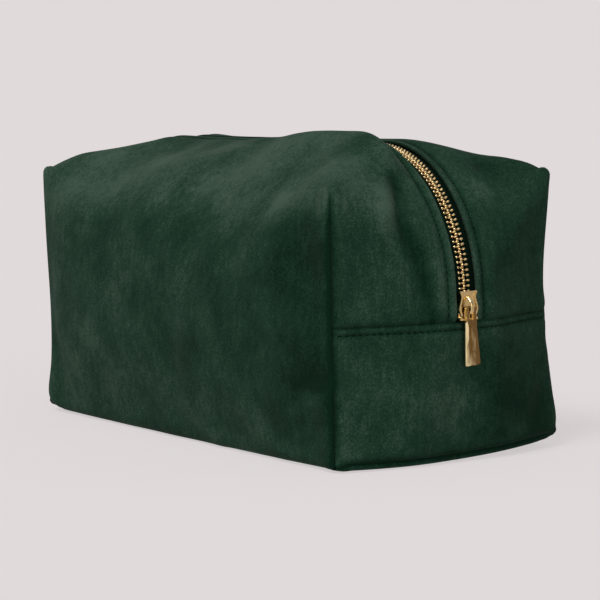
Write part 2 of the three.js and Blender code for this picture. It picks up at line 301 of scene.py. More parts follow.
def distance_to_route(points, route):
    nearest = np.full(len(points), 1e6)
    for start, stop in zip(route, route[1:]):
        start, along = np.array(start, float), np.subtract(stop, start)
        share = np.clip((points - start) @ along / (along @ along), 0, 1)
        nearest = np.minimum(nearest, np.linalg.norm(points - start - share[:, None] * along, axis=1))
    return nearest


def folds(points):
    """How far the folds lift each point, with a slight opposite swell on both sides of each."""
    lift = np.zeros(len(points))
    for route, width, height in FOLDS:
        d = distance_to_route(points, route) / width
        lift += height * (1 - 0.35 * d**2) * np.exp(-(d**2))
    return lift


def from_corner_seam():
    x0, y0, _ = PLACES.T
    walls, ends = on_side(FINE, "front", "back"), on_side(FINE, "near", "far")
    return np.minimum(
        np.where(walls, HALF_LENGTH - np.abs(x0), 99), np.where(ends, HALF_WIDTH - np.abs(y0), 99)
    )


def sewn_share():
    """How strongly the corner seams show: they fade out where they run into the rounded top."""
    return np.clip((119 - PLACES[:, 2]) / 7, 0, 1)


def seam_relief():
    """How far each point stands out (+) or is drawn in (-) by the seams and rows of stitches."""
    x0, y0, z0 = PLACES.T
    ends = on_side(FINE, "near", "far")
    from_corner = from_corner_seam()
    relief = sewn_share() * (0.7 * bump(from_corner - 5, 3.8) - 2.3 * bump(from_corner, 1.15))
    level = 0.6 * bump(z0 - END_SEAM_Z - 4, 3) - 0.9 * bump(z0 - END_SEAM_Z, 0.8)
    stitched = -0.6 * bump(z0 - STITCH_LINE_Z, 0.7) + 0.3 * bump(z0 - 53, 3)
    base = 0.5 * bump(z0 - BASE_RIM_Z - 4.5, 3) - 1.3 * bump(z0 - BASE_RIM_Z, 0.9)
    relief += np.where(ends, level + stitched + base * ease(from_corner, 1, 10), 0)
    by_zip = on_side(FINE, "top") | (ends & (z0 > END_SEAM_Z))
    hem = 0.45 * bump(np.abs(y0) - 6.6, 1.3) - 0.7 * bump(np.abs(y0) - ZIP_STITCH_Y, 0.8)
    relief += np.where(by_zip, hem, 0)
    raised_edge = 1.5 * bump(x0 - 84, 13) * bump(y0 + 7, 3)  # the front's, where the top begins to turn down
    return relief + np.where(on_side(FINE, "top") & (y0 < 0), raised_edge, 0)


def soft_noise(points, scale, seed):
    offset = Vector((seed * 17.3, seed * 5.1, seed * 9.7))
    return np.array([noise.noise(Vector(p) / scale + offset) for p in points])


def unevenness(lattice, points):
    """The velvet's gentle waves, which die away at the zip and the seams."""
    _, y0, z0 = lattice.places.T
    free = np.clip((np.abs(y0) - 9) / 14, 0, 1) * np.clip(z0 / 12, 0, 1)
    return free * (1.2 * soft_noise(points, 44, 1) + 0.5 * soft_noise(points, 17, 2))


# ---- The velvet's own movement: cloth, sewn down along its seams --------------------------
def sewn_down(lattice):
    """Which points the seams, the zip and the floor hold still."""
    x0, y0, z0 = np.abs(lattice.places).T
    ends, top = on_side(lattice, "near", "far"), on_side(lattice, "top")
    corner = (x0 > HALF_LENGTH - 1) & (y0 > HALF_WIDTH - 1)
    level = ends & (np.abs(z0 - END_SEAM_Z) < CLOTH_CELL / 2)
    zipped = (y0 < ZIP_STITCH_Y + 1) & (top | (ends & (z0 > END_SEAM_Z)))
    return corner | level | zipped | on_side(lattice, "bottom")


def evened(values, quads, rounds):
    """Draws each point's value half way to the mean of its neighbours', some times over."""
    here = np.concatenate([quads, quads])
    there = np.concatenate([np.roll(quads, 1, axis=1), np.roll(quads, -1, axis=1)])
    count = np.bincount(here.ravel(), minlength=len(values))[:, None]
    for _ in range(rounds):
        total = np.zeros_like(values)
        np.add.at(total, here.ravel(), values[there.ravel()])
        values = (values + total / count) / 2
    return values


def relaxed_cloth():
    """How cloth under light pressure moves between its seams: the moves, on a coarse lattice."""
    coarse = number_surface(CLOTH_LINES)
    quads = np.concatenate([cells(coarse, side)[0] for side in SIDES])
    rest = handled(coarse, shell_form(coarse.places))
    start = rest + vertex_normals(rest, quads) * (unevenness(coarse, rest) - 1)[:, None]
    mesh = bpy.data.meshes.new("cloth")
    mesh.from_pydata([tuple(p) for p in start * MM], [], [tuple(map(int, q)) for q in quads])
    cloth = bpy.data.objects.new("cloth", mesh)
    bpy.context.scene.collection.objects.link(cloth)
    held = cloth.vertex_groups.new(name="held")
    held.add([int(n) for n in np.nonzero(sewn_down(coarse))[0]], 1.0, "REPLACE")
    settings = cloth.modifiers.new("cloth", "CLOTH").settings
    settings.vertex_group_mass = "held"
    settings.quality = 6
    settings.mass = 0.25
    settings.tension_stiffness = settings.compression_stiffness = 20
    settings.shear_stiffness = 8
    settings.bending_stiffness = 0.6
    settings.shrink_min = -0.035
    settings.use_pressure = True
    settings.uniform_pressure_force = 2.5
    settings.effector_weights.gravity = 0
    for step in range(1, CLOTH_FRAMES + 1):
        bpy.context.scene.frame_set(step)
    evaluated = cloth.evaluated_get(bpy.context.evaluated_depsgraph_get())
    moved = np.array([v.co[:] for v in evaluated.data.vertices]) / MM - rest
    bpy.data.objects.remove(cloth)
    bpy.data.meshes.remove(mesh)
    bpy.context.scene.frame_set(1)
    size = np.linalg.norm(moved, axis=1, keepdims=True)
    moved *= CLOTH_CAP * np.tanh(size / CLOTH_CAP) / np.maximum(size, 1e-6)
    return coarse, evened(moved, quads, CLOTH_EVENING)


def spread(coarse, values):
    """Carries values from the coarse lattice's points on to the fine lattice's."""
    result = np.zeros((len(PLACES), values.shape[1]))
    for side, (_, _, row_axis, column_axis, _) in SIDES.items():
        rows, columns = coarse.lines[row_axis], coarse.lines[column_axis]
        field = values[coarse.grids[side]]
        fine = FINE.grids[side]
        at_row = np.interp(FINE.lines[row_axis], rows, np.arange(len(rows)))
        at_column = np.interp(FINE.lines[column_axis], columns, np.arange(len(columns)))
        r = np.minimum(at_row.astype(int), len(rows) - 2)
        c = np.minimum(at_column.astype(int), len(columns) - 2)
        s, t = (at_row - r)[:, None, None], (at_column - c)[None, :, None]
        low = field[r][:, c] * (1 - t) + field[r][:, c + 1] * t
        high = field[r + 1][:, c] * (1 - t) + field[r + 1][:, c + 1] * t
        result[fine.ravel()] = (low * (1 - s) + high * s).reshape(-1, values.shape[1])
    return result


def build_form():
    """The pouch as it lies: its plain form, pushed about, with the cloth's own movement on it."""
    plain = handled(FINE, shell_form(PLACES))
    waves = spread(*relaxed_cloth())
    calm = ease(from_corner_seam(), 0, 18) * (0.35 + 0.65 * ease(PLACES[:, 2], 0, 45))
    fold = folds(plain) * np.clip((np.abs(PLACES[:, 1]) - 9) / 12, 0, 1)
    return waves * calm[:, None], fold


WAVES, FOLD = build_form()


def build_skin(inset=0.0):
    """The velvet's face, or a layer set in behind it, which follows its folds but not its seams."""
    points = handled(FINE, shell_form(PLACES, inset))
    relief = FOLD + (0 if inset else seam_relief())
    points += WAVES + vertex_normals(points, ALL_QUADS) * relief[:, None]
    points[:, 2] = np.maximum(points[:, 2], inset)
    return points


SKIN = build_skin()
NORMALS = vertex_normals(SKIN, ALL_QUADS)


# Where a hand has brushed the pile, and where strokes paint a highlight or shade along folds: the points that
# a stroke runs through, its width, and how much lighter (+) or darker (-) it leaves the pile.
STROKES = (
    (((84, -38, 131), (83, -50, 122), (79, -59, 106)), 7, 0.16),
    (((66, -62, 92), (66, -62, 84)), 7, 0.10),
    (((-60, -61, 95), (-8, -61, 100), (34, -61, 98)), 9, -0.10),
    (((119, -55, 121), (113, -58, 111)), 6, -0.14),
    (((66, -62, 29), (73, -61, 20)), 4, 0.09),
    (((76, -61, 16), (87, -60, 6)), 4, 0.10),
    (((104, -61, 36), (120, -60, 35)), 4, -0.10),
    (((105, -61, 100), (108, -61, 45)), 16, -0.07),
    (((-110, -59, 105), (-109, -59, 50)), 9, 0.06),
    (((-20, -62, 62), (26, -62, 51)), 9, -0.05),
    # a painted highlight along the ridge of the second fold
    (((124, -24, 126), (129, -31, 113)), 6, 0.09),
    (((138, -11, 88), (138, -11, 66)), 4, 0.08),
    # painted shade along the valley of the first fold
    (((130, -24, 111), (132, -27, 102), (136, -21, 83), (138, -16, 62)), 4, -0.10),
    (((136, 12, 50), (134, 30, 30)), 16, -0.08),
)


def brushed_pile_and_fold_shade(points):
    return sum(lighter * bump(distance_to_route(points, route), width) for route, width, lighter in STROKES)


def build_nap_and_painted_light():
    """How the pile lies at each point, with painted light and shade: 0 is darkest and 1 lightest."""
    x0, y0, z0 = PLACES.T
    front, near = on_side(FINE, "front"), on_side(FINE, "near")
    top = on_side(FINE, "top") & ~front & ~near
    nap_and_painted_light = 0.5 + 0.16 * soft_noise(SKIN, 46, 5) + 0.18 * soft_noise(SKIN, 19, 6)
    # painted light: the front is lighter under the top; painted shade darkens it towards the near seam
    nap_and_painted_light += np.where(front, 0.22 * ease(z0, 84, 120) - 0.22 * ease(x0, 40, 122) * (1 - ease(z0, 92, 118)), 0)
    # painted light on the front half of the top and on the ends below it; painted shade on the near back
    # quarter
    from_near = ease(x0, 60, HALF_LENGTH)
    painted_top_light = 0.22 * ease(-y0, 6, 40) * ease(z0, 92, 120) * (1 - 0.5 * from_near)
    nap_and_painted_light += np.where(front, 0, painted_top_light)
    nap_and_painted_light += np.where(near | top, from_near * (0.03 - 0.17 * ease(y0, -5, 50)), 0)
    # painted shade low on the near end, towards the back
    nap_and_painted_light -= np.where(near, 0.10 * ease(-z0, -60, -10) * ease(y0, -20, 30), 0)
    # painted highlight on fold ridges, painted shade in their valleys and along the foot of the front and
    # near end, and the brushed pile
    nap_and_painted_light += 0.11 * FOLD + brushed_pile_and_fold_shade(SKIN) - np.where(front | near, 0.12 * (1 - ease(z0, 0, 9)), 0)
    # painted shade in the corner seams, the level seam, the base seam and the stitch line
    seam_shade = sewn_share() * bump(from_corner_seam(), 1.7)
    ends = on_side(FINE, "near", "far")
    seam_shade = np.maximum(seam_shade, np.where(ends, 0.4 * bump(z0 - END_SEAM_Z, 0.7), 0))
    seam_shade = np.maximum(seam_shade, np.where(ends, bump(z0 - BASE_RIM_Z, 1.1), 0))
    seam_shade = np.maximum(seam_shade, np.where(ends, 0.4 * bump(z0 - STITCH_LINE_Z, 0.8), 0))
    # along the zip: a painted highlight on the hem's rolled edge and painted shade in the stitch groove
    by_zip = on_side(FINE, "top") | (ends & (z0 > END_SEAM_Z))
    hem = 0.14 * bump(np.abs(y0) - 6.0, 1.2) - 0.3 * bump(np.abs(y0) - ZIP_STITCH_Y, 0.8)
    nap_and_painted_light += np.where(by_zip, hem, 0)
    # pile bent over the ridge beside each corner seam, lighter with a painted highlight
    nap_and_painted_light += 0.08 * sewn_share() * bump(from_corner_seam() - 4, 2)
    return np.clip(nap_and_painted_light - 0.55 * seam_shade, 0, 1)


NAP_AND_PAINTED_LIGHT = build_nap_and_painted_light()


def sample(side, row, column, lift=0.0):
    """The skin's place and normal at lattice position (row, column) of a side, lifted off it."""
    _, _, row_axis, column_axis, _ = SIDES[side]
    rows, columns, grid = FINE.lines[row_axis], FINE.lines[column_axis], FINE.grids[side]
    r = int(np.clip(np.searchsorted(rows, row) - 1, 0, len(rows) - 2))
    c = int(np.clip(np.searchsorted(columns, column) - 1, 0, len(columns) - 2))
    s = (row - rows[r]) / (rows[r + 1] - rows[r])
    t = (column - columns[c]) / (columns[c + 1] - columns[c])
    weights = [(1 - s) * (1 - t), s * (1 - t), (1 - s) * t, s * t]
    corners = [grid[r, c], grid[r + 1, c], grid[r, c + 1], grid[r + 1, c + 1]]
    place = sum(w * SKIN[n] for w, n in zip(weights, corners))
    normal = sum(w * NORMALS[n] for w, n in zip(weights, corners))
    normal /= np.linalg.norm(normal)
    return place + normal * lift, normal


# ---- Meshes -------------------------------------------------------------------------------
def make_piece(name, points, faces, material, slot, nap_and_painted_light=None):
    """A mesh object from points in millimetres, with the lie of its pile and its painted light and shade if
    it is velvet.
    """
    mesh = bpy.data.meshes.new(name)
    mesh.from_pydata([tuple(p) for p in np.asarray(points) * MM], [], [tuple(map(int, f)) for f in faces])
    mesh.validate()
    if nap_and_painted_light is not None:
        mesh.attributes.new("nap_and_painted_light", "FLOAT", "POINT").data.foreach_set("value", np.asarray(nap_and_painted_light, np.float32))
    mesh.polygons.foreach_set("use_smooth", [True] * len(mesh.polygons))
    mesh.materials.append(material)
    piece = bpy.data.objects.new(name, mesh)
    bpy.context.scene.collection.objects.link(piece)
    return piece


def compact(points, faces):
    """Keeps only the points that the faces use, and says which they are."""
    used, inverse = np.unique(np.asarray(faces), return_inverse=True)
    return points[used], inverse.reshape(-1, 4), used


def subdivide(piece, levels=1):
    smooth = piece.modifiers.new("smooth", "SUBSURF")
    smooth.boundary_smooth = "PRESERVE_CORNERS"
    smooth.levels = smooth.render_levels = levels


def zip_edge(slot_half, side):
    """The lattice points along one edge of the slot, from the near end's seam over to the far end's."""
    row = int(np.argmin(np.abs(FINE.lines[1] - side * slot_half)))
    upward = np.nonzero(FINE.lines[2] >= END_SEAM_Z)[0]
    near = FINE.grids["near"][row, upward]
    far = FINE.grids["far"][row, upward][::-1]
    over = FINE.grids["top"][::-1, row][1:-1]
    return np.concatenate([near, over, far])


HEM = ((0.25, 0.75), (-0.2, 1.35), (-1.2, 1.6), (-4.0, 1.6))  # towards the zip, below the face


def add_hem(points, nap_and_painted_light, quads, side):
    """Rolls the velvet's zip edge under, towards the tape."""
    edge = zip_edge(SLOT["velvet"], side)
    rows = [edge]
    for towards, below in HEM:
        rows.append(np.arange(len(points), len(points) + len(edge)))
        turned = SKIN[edge] - NORMALS[edge] * below - np.array([0, side * towards, 0])
        points = np.concatenate([points, turned])
        # painted shade: the pile darkens as the edge rolls under
        nap_and_painted_light = np.concatenate([nap_and_painted_light, np.clip(NAP_AND_PAINTED_LIGHT[edge] - 0.3 * below, 0, 1)])
    strips = []
    for outer, inner in zip(rows, rows[1:]):
        strip = np.stack([outer[:-1], outer[1:], inner[1:], inner[:-1]], axis=1)
        strips.append(strip if side < 0 else strip[:, ::-1])
    return points, nap_and_painted_light, np.concatenate([quads, *strips])


def region(slot_half, y_sign=None, lower_end=None):
    """The quads of one panel: a half of the main piece (y_sign), or a lower end panel (lower_end)."""
    chosen = []
    for side, (quads, middle) in CELLS.items():
        x, y, z = middle.T
        is_end = side in ("near", "far")
        in_lower_end = is_end & (z > BASE_RIM_Z) & (z < END_SEAM_Z)
        if lower_end:
            keep = in_lower_end & (side == lower_end)
        else:
            open_strip = (np.abs(y) < slot_half) & ((side == "top") | (is_end & (z > END_SEAM_Z)))
            keep = (y * y_sign > 0) & ~in_lower_end & ~open_strip
        chosen.append(quads[keep])
    return np.concatenate(chosen)


def finish_panel(piece, body_or_half, nodes):
    subdivide(piece)
    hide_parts(*nodes)
    if body_or_half == "root":
        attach(piece, "root")
    else:
        bend_with_mouth(piece)


def velvet_piece(name, points, nap_and_painted_light, quads):
    shape, faces, used = compact(points, quads)
    return make_piece(name, shape, faces, VELVET_GREEN, "velvet", nap_and_painted_light[used])


def build_velvet():
    """The main piece as two halves, with the level-seamed lower ends between them."""
    for half, side in (("front", -1), ("back", 1)):
        points, nap_and_painted_light, quads = add_hem(SKIN, NAP_AND_PAINTED_LIGHT, region(SLOT["velvet"], side), side)
        piece = velvet_piece(f"{half}_velvet", points, nap_and_painted_light, quads)
        nodes = (f"{half}_panel_upper", f"{half}_panel_lower", "bottom_panel")
        finish_panel(piece, half, nodes)
    for end in ("near", "far"):
        piece = velvet_piece(f"{end}_lower_end_velvet", SKIN, NAP_AND_PAINTED_LIGHT, region(0, lower_end=end))
        finish_panel(piece, "root", (f"{end}_end_panel",))


def build_inner_layer(kind, depths, material):
    """The padding or the lining, between two depths behind the velvet's face."""
    faces = [build_skin(depth) for depth in depths]
    panels = [("front", "front", region(SLOT[kind], -1)), ("back", "back", region(SLOT[kind], 1))]
    panels += [(f"{end}_lower_end", "root", region(0, lower_end=end)) for end in ("near", "far")]
    for name, rides, quads in panels:
        outer, local, used = compact(faces[0], quads)
        inner = faces[1][used]
        shape = close_sheet(outer, inner, local)
        piece = make_piece(f"{name}_{kind}_layer", *shape, material, kind)
        if rides == "root":
            nodes = (f"{name.split('_')[0]}_end_{kind}",)
        else:
            nodes = (f"{name}_{kind}_upper", f"{name}_{kind}_lower", f"bottom_{kind}")
        finish_panel(piece, rides, nodes)


def close_sheet(outer, inner, quads):
    """A sheet with an outer face, an inner face and a rim."""
    count = len(outer)
    edges = {}
    for quad in quads:
        for a, b in zip(quad, np.roll(quad, -1)):
            edges[(a, b)] = True
    rim = [[b, a, a + count, b + count] for a, b in edges if (b, a) not in edges]
    return np.concatenate([outer, inner]), np.concatenate([quads, quads[:, ::-1] + count, rim])


def bend_with_mouth(piece):
    """Bakes the piece's placing into its mesh."""
    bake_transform(piece)


# ---- Materials ----------------------------------------------------------------------------
def srgb(red, green, blue):
    def linear(value):
        value /= 255
        return value / 12.92 if value <= 0.04045 else ((value + 0.055) / 1.055) ** 2.4

    return (linear(red), linear(green), linear(blue), 1)


def new_material(name):
    material = bpy.data.materials.new(name)
    material.use_nodes = True
    nodes = material.node_tree.nodes
    return material, nodes, material.node_tree.links, nodes["Principled BSDF"]


def add_noise(nodes, links, coordinates, scale, detail, stretch=(1, 1, 1), turn=(0, 0, 0)):
    """Noise drawn out by stretch along axes turned by some degrees."""
    mapping = nodes.new("ShaderNodeMapping")
    mapping.vector_type = "TEXTURE"
    mapping.inputs["Rotation"].default_value = [math.radians(angle) for angle in turn]
    mapping.inputs["Scale"].default_value = stretch
    links.new(coordinates, mapping.inputs["Vector"])
    texture = nodes.new("ShaderNodeTexNoise")
    texture.inputs["Scale"].default_value = scale
    texture.inputs["Detail"].default_value = detail
    links.new(mapping.outputs["Vector"], texture.inputs["Vector"])
    return texture.outputs["Fac"]


def add_sum(nodes, links, first, weighted):
    """first + the sum of weight * (value - 0.5)."""
    total = first
    for value, weight in weighted:
        share = add_math(nodes, links, "MULTIPLY", add_math(nodes, links, "SUBTRACT", value, 0.5), weight)
        total = add_math(nodes, links, "ADD", total, share)
    return total


def add_ramp(nodes, links, factor, stops):
    ramp = nodes.new("ShaderNodeValToRGB")
    elements = ramp.color_ramp.elements
    while len(elements) < len(stops):
        elements.new(0.5)
    for element, (position, color) in zip(elements, stops):
        element.position = position
        element.color = color
    links.new(factor, ramp.inputs["Fac"])
    return ramp.outputs["Color"]


def add_math(nodes, links, operation, first, second):
    node = nodes.new("ShaderNodeMath")
    node.operation = operation
    for socket, value in zip(node.inputs, (first, second)):
        if isinstance(value, (int, float)):
            socket.default_value = value
        else:
            links.new(value, socket)
    return node.outputs[0]


def add_bump(nodes, links, shader, height, strength, distance):
    node = nodes.new("ShaderNodeBump")
    node.inputs["Strength"].default_value = strength
    node.inputs["Distance"].default_value = distance * MM
    links.new(height, node.inputs["Height"])
    links.new(node.outputs["Normal"], shader.inputs["Normal"])


def velvet_material():
    """Short green pile: its lie, with painted light and shade, comes from the mesh, with brush strokes,
    blotches and grain over it.
    """
    material, nodes, links, shader = new_material("velvet")
    place = nodes.new("ShaderNodeTexCoord").outputs["Object"]
    lie_and_painted_light = nodes.new("ShaderNodeAttribute")
    lie_and_painted_light.attribute_name = "nap_and_painted_light"
    blotches = add_noise(nodes, links, place, 60, 4)
    upright = add_noise(nodes, links, place, 420, 5, (1, 1, 3.2))
    slanted = add_noise(nodes, links, place, 380, 5, (1, 1, 2.6), (0, 38, 0))
    patches = add_noise(nodes, links, place, 170, 4)
    grain = add_noise(nodes, links, place, 1200, 2)
    nap_and_painted_light = add_sum(
        nodes,
        links,
        lie_and_painted_light.outputs["Fac"],
        ((blotches, 0.42), (patches, 0.24), (upright, 0.34), (slanted, 0.30), (grain, 0.75)),
    )
    stops = ((0.1, VELVET_SHADES[0]), (0.5, VELVET_SHADES[1]), (0.9, VELVET_SHADES[2]))
    links.new(add_ramp(nodes, links, nap_and_painted_light, stops), shader.inputs["Base Color"])
    shader.inputs["Roughness"].default_value = 1.0
    shader.inputs["Specular IOR Level"].default_value = 0.1
    shader.inputs["Sheen Weight"].default_value = 0.08
    shader.inputs["Sheen Roughness"].default_value = 0.3
    shader.inputs["Sheen Tint"].default_value = srgb(190, 205, 192)
    pile = add_sum(nodes, links, grain, ((upright, 0.6), (patches, 0.5)))
    add_bump(nodes, links, shader, pile, 0.55, 0.35)
    return material


def plain_cloth(name, dark, light, scale, roughness, sheen):
    material, nodes, links, shader = new_material(name)
    place = nodes.new("ShaderNodeTexCoord").outputs["Object"]
    weave = add_noise(nodes, links, place, scale, 3)
    links.new(add_ramp(nodes, links, weave, [(0.35, dark), (0.65, light)]), shader.inputs["Base Color"])
    shader.inputs["Roughness"].default_value = roughness
    shader.inputs["Specular IOR Level"].default_value = 0.5 * (1 - roughness)
    shader.inputs["Sheen Weight"].default_value = sheen
    add_bump(nodes, links, shader, weave, 0.4, 0.2)
    return material


def gold_material(name, color, dark_reflection, roughness, back_shade_share=0.0):
    """Polished plate: a painted dark reflection deepens the outer faces, and painted shade deepens those
    towards the back by a share.
    """
    material, nodes, links, shader = new_material(name)
    place = nodes.new("ShaderNodeTexCoord")
    rubbing = add_noise(nodes, links, place.outputs["Object"], 500, 3, (1, 1, 4))
    split = nodes.new("ShaderNodeSeparateXYZ")
    links.new(place.outputs["Normal"], split.inputs["Vector"])
    # painted dark reflection on faces looking along X, and painted shade on faces towards the back
    dark_reflection_share = add_math(nodes, links, "ABSOLUTE", split.outputs["X"], 0)
    back_side_shade = add_math(nodes, links, "MULTIPLY", split.outputs["Y"], back_shade_share)
    dark_reflection_share = add_math(nodes, links, "ADD", dark_reflection_share, back_side_shade)
    tone = add_sum(nodes, links, dark_reflection_share, ((rubbing, 0.5),))
    tones = ((0.55, color), (0.98, dark_reflection))
    links.new(add_ramp(nodes, links, tone, tones), shader.inputs["Base Color"])
    shader.inputs["Metallic"].default_value = 1
    low = (roughness,) * 3 + (1,)
    high = (roughness + 0.12,) * 3 + (1,)
    links.new(add_ramp(nodes, links, rubbing, [(0.4, low), (0.8, high)]), shader.inputs["Roughness"])
    return material


VELVET_SHADES = (srgb(3, 29, 16), srgb(23, 49, 35), srgb(54, 73, 61))
VELVET_GREEN = velvet_material()
PADDING_GREY = plain_cloth("padding", srgb(196, 194, 186), srgb(214, 212, 205), 900, 0.95, 0.1)
LINING_GREEN = plain_cloth("lining", srgb(34, 58, 44), srgb(44, 70, 54), 1800, 0.45, 0.2)
# the tape's dark green is darkened further with painted shade for the zip's recess
TAPE_GREEN_AND_SHADE = plain_cloth("zip_tape", srgb(3, 13, 8), srgb(8, 24, 15), 2200, 0.95, 0)
THREAD_GREEN = plain_cloth("thread", srgb(2, 12, 7), srgb(7, 22, 14), 3000, 0.9, 0)
# each gold's second colour is its painted dark reflection, and on the tab also painted shade
ZIP_GOLD = gold_material("zip_gold", srgb(222, 201, 154), srgb(160, 134, 92), 0.24)
SLIDER_GOLD = gold_material("slider_gold", srgb(250, 230, 180), srgb(192, 164, 112), 0.15)
TAB_GOLD = gold_material("tab_gold", srgb(250, 230, 176), srgb(112, 86, 50), 0.15, 0.4)


# ---- The zip ------------------------------------------------------------------------------
NEAR_START_Z = 64.0
STRAIGHT = ARC_Z - NEAR_START_Z
ARC_LENGTH = ZIP_RADIUS * math.pi / 2
PATH_LENGTH = 2 * (STRAIGHT + ARC_LENGTH + ARC_X)


def zip_point(s, out=0.0):
    """The zip's middle line at distance s from its start, moved outwards: place, tangent, normal."""
    mirrored = s > PATH_LENGTH / 2
    if mirrored:
        s = PATH_LENGTH - s
    if s < STRAIGHT:
        angle, x, z = 0.0, ARC_X + ZIP_RADIUS, NEAR_START_Z + s
    elif s < STRAIGHT + ARC_LENGTH:
        angle = (s - STRAIGHT) / ZIP_RADIUS
        x = ARC_X + ZIP_RADIUS * math.cos(angle)
        z = ARC_Z + ZIP_RADIUS * math.sin(angle)
    else:
        angle, z = math.pi / 2, ARC_Z + ZIP_RADIUS
        x = ARC_X - (s - STRAIGHT - ARC_LENGTH)
    normal = np.array([math.cos(angle), 0, math.sin(angle)])
    tangent = np.array([-math.sin(angle), 0, math.cos(angle)])
    place = np.array([x, 0, z]) + normal * out
    if mirrored:
        place[0] *= -1
        normal[0] *= -1
        tangent[2] *= -1
    return place, tangent, normal


def loft(rings, closed=False):
    """Quads between rings of points, with both ends capped unless the rings close on themselves."""
    rings = np.asarray(rings, float)
    count, around = rings.shape[:2]
    faces = []
    for r in range(count if closed else count - 1):
        here, there = r * around, ((r + 1) % count) * around
        for n in range(around):
            m = (n + 1) % around
            faces.append([here + n, here + m, there + m, there + n])
    if not closed:
        faces.append(list(range(around))[::-1])
        faces.append([(count - 1) * around + n for n in range(around)])
    return rings.reshape(-1, 3), faces


def merge(parts):
    points, faces, start = [], [], 0
    for part_points, part_faces in parts:
        points.append(part_points)
        faces += [[n + start for n in face] for face in part_faces]
        start += len(part_points)
    return np.concatenate(points), faces


def tape_strip(side):
    """A woven tape from beside the teeth to its sewn edge."""
    below = 6.0
    stations = np.linspace(-below, PATH_LENGTH + below, 150)
    section = [(1.6, 0.3), (2.4, 0.55), (3.2, 0.3), (8, 0.3), (12.8, 0.3)]
    section += [(12.8, -0.3), (8, -0.3), (3.2, -0.3), (2.4, -0.55), (1.6, -0.3)]
    rings = []
    for s in stations:
        place, tangent, normal = zip_point(min(max(s, 0), PATH_LENGTH))
        place = place + tangent * (s - min(max(s, 0), PATH_LENGTH))
        rings.append([place + normal * out + np.array([0, side * y, 0]) for y, out in section])
    points, faces = loft(rings)
    return points, faces if side > 0 else [face[::-1] for face in faces]


TOOTH_PITCH = 2.2
TOOTH_SECTIONS = [
    # across, half-thickness along the zip, half-height, from the outer end to the head
    (3.0, 0.25, 0.5),
    (2.85, 0.52, 1.0),
    (2.4, 0.66, 1.25),
    (1.95, 0.56, 1.1),
    (1.45, 0.34, 0.6),
    (1.05, 0.34, 0.6),
    (0.65, 0.50, 1.05),
    (0.15, 0.62, 1.25),
    (-0.3, 0.50, 1.05),
    (-0.6, 0.22, 0.5),
]
OCTAGON = [(math.cos(a), math.sin(a)) for a in (np.arange(8) + 0.5) * math.pi / 4]


def tooth(side, s):
    place, tangent, normal = zip_point(s)
    rings = []
    for across, thick, high in TOOTH_SECTIONS:
        centre = place + np.array([0, side * across, 0])
        rings.append([centre + tangent * (c * thick * 1.08) + normal * (n * high * 1.08) for c, n in OCTAGON])
    points, faces = loft(rings)
    return points, faces if side < 0 else [face[::-1] for face in faces]


def teeth_row(side):
    first = TOOTH_PITCH * (0.5 if side < 0 else 1.0)
    return merge([tooth(side, s) for s in np.arange(first, PATH_LENGTH - TOOTH_PITCH, TOOTH_PITCH)])


def build_zip():
    for half, side in (("front", -1), ("back", 1)):
        tape = make_piece(f"{half}_zip_tape_woven", *tape_strip(side), TAPE_GREEN_AND_SHADE, "zip_tape")
        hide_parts(f"{half}_zip_tape")
        bend_with_mouth(tape)
        row = make_piece(f"{half}_zip_teeth_row", *teeth_row(side), ZIP_GOLD, "zip_metal")
        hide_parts(f"{half}_zip_teeth")
        bend_with_mouth(row)


# ---- The slider, the pull tab and the stops, in the slider's own frame -------------------
# X is out of the pouch, Y across it and Z up. Solids are made at 1 unit to the millimetre.
SLIDER_PLACE = np.array([ARC_X + ZIP_RADIUS, 0, 67])
PIVOT = (4.45, -1.4)  # of the pull tab: out, up
WING = (2.1, 3.2)  # the levels of a wing's faces
RIM_TOP = 3.65
FLANGE_THICKNESS = 0.8
DISH_SHARE = (0.84, 0.87)  # how much of the outer wing its dish covers, across and up
WING_OUTLINE = (  # one half of it, across and up, from the neck down to the mouth
    (0, 6.0), (2.2, 6.05), (3.9, 6.15), (4.35, 5.6), (3.95, 4.6), (3.75, 3.4),
    (4.15, 1.6), (4.75, -0.4), (4.85, -1.6), (4.45, -3.0), (3.85, -4.2), (4.05, -4.8),
    (4.55, -5.2), (4.5, -5.9), (3.7, -6.15), (0, -6.1),
)
BRIDGE_ROUTE = (  # out and up, from the mouth to the neck
    (2.8, -3.3), (4.5, -3.25), (5.5, -2.6), (5.95, -1.3),
    (5.9, 0.2), (5.3, 1.6), (4.2, 2.8), (2.8, 3.8),
)
TAB_OUTLINE = (  # one half of it, across and down from the pivot
    (0, 0.85), (1.7, 0.82), (2.25, 0.4), (2.35, -1.5), (2.4, -4.2), (2.75, -5.6),
    (2.9, -8.0), (3.8, -22.4), (3.6, -23.4), (2.7, -23.95), (0, -24.2),
)
TAB_THICKNESS = 1.5
TAB_SLOPES = {"depth": 0.8, "left": 0.62, "right": 0.86}  # how much of each half the outer face keeps
EYE = {"half": 1.35, "top": -0.62, "bottom": -4.5}
GROOVE = ((-1.25, -7.2), (-0.75, -7.2), (-0.75, -16.6), (-1.6, -16.6))  # in the tab's outer face
GROOVE_DEPTH = 0.5
MARK = ((-0.9, -17.9), (0.9, -17.9), (0.9, -17.6), (-0.9, -17.6))  # a short cut below the groove
DIMPLE = {"down": -19.4, "radius": 0.65, "depth": 0.3}
TAB_LEAN = 3.0  # degrees to the back, as it hangs


